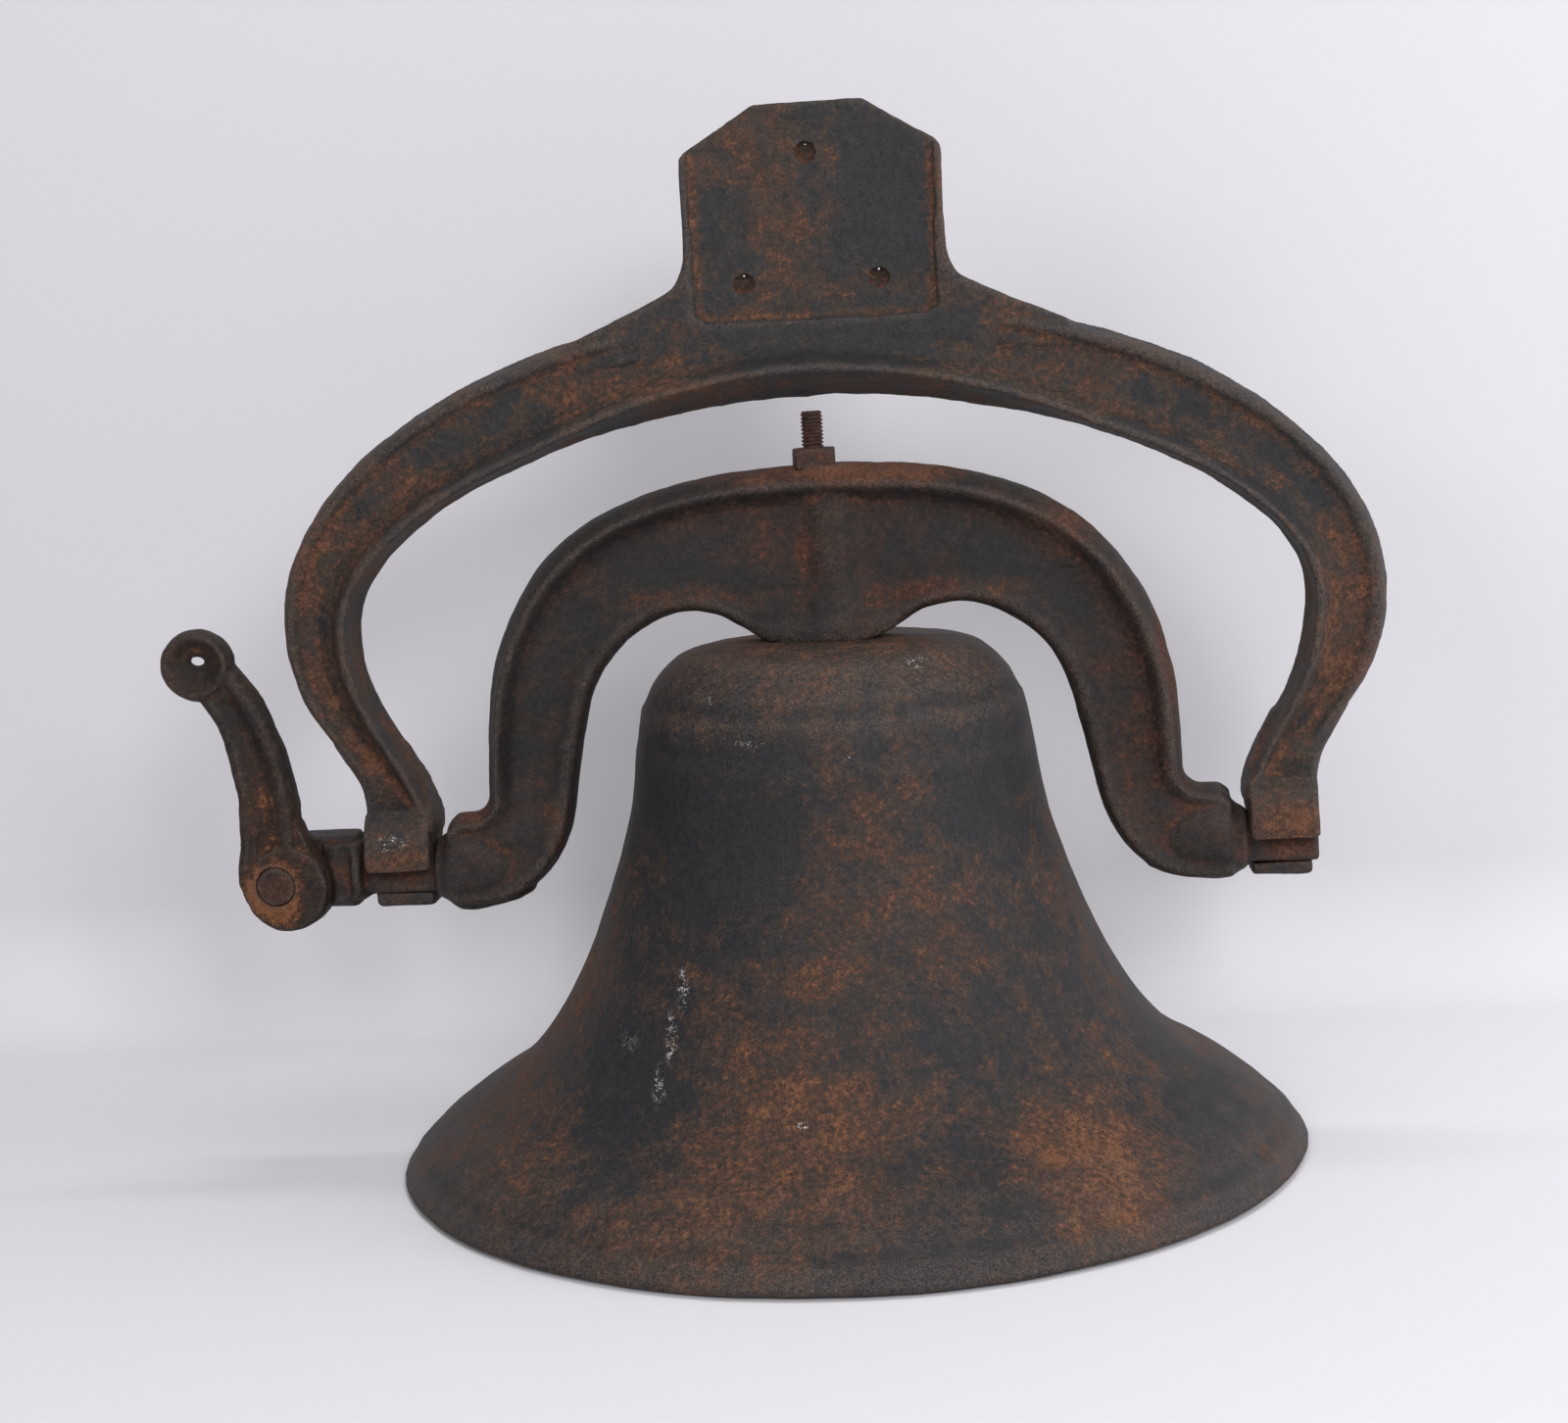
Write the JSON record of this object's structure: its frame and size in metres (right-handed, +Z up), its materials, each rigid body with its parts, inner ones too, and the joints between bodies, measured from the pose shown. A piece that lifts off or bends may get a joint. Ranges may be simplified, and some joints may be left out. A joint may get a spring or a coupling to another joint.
{
  "type": "yard dinner bell",
  "caption": "Cast-iron yard bell on a swinging yoke in an arched hanger with a fixing plate, a clapper and a folding crank lever for a rope.",
  "frame": {"origin": "on the back face of the hanger's plate, midway between its two lower fixing holes", "axes": "+Z up, +X along the trunnions away from the crank lever, +Y out of the plate's back, towards the post or beam"},
  "size_m": [0.5333, 0.394, 0.4502],
  "materials": {
    "iron_hanger": "patchy black patina over brown rust, rough cast",
    "iron_yoke": "black and red-brown patina, rough cast",
    "iron_bell": "black patina with speckled orange-brown rust, rough cast",
    "iron_lever": "brown rusted casting",
    "rusty_steel": "even red-brown rust"
  },
  "bodies": {
    "hanger_body": {"hanger": "iron_hanger"},
    "swing": {"yoke": "iron_yoke", "bell": "iron_bell", "bell_bolt": "rusty_steel", "bell_nut": "rusty_steel", "crown_washer": "rusty_steel", "clapper_pin": "rusty_steel", "cotter_pin": "rusty_steel", "lever_pin": "rusty_steel"},
    "clapper_body": {"clapper": "iron_hanger"},
    "lever_body": {"crank_lever": "iron_lever"}
  },
  "joints": [
    {"name": "bell_swing", "type": "hinge", "parent": "hanger_body", "child": "swing", "pos_m": [0, -0.01708, -0.2467], "axis": [1, 0, 0], "range_deg": [-75, 75]},
    {"name": "clapper_swing", "type": "hinge", "parent": "swing", "child": "clapper_body", "pos_m": [0, -0.01708, -0.1872], "axis": [1, 0, 0], "range_deg": [-36.5, 36.5]},
    {"name": "lever_tilt", "type": "hinge", "parent": "swing", "child": "lever_body", "pos_m": [-0.246, -0.01708, -0.2497], "axis": [0, 1, 0], "range_deg": [-70, 8]}
  ]
}
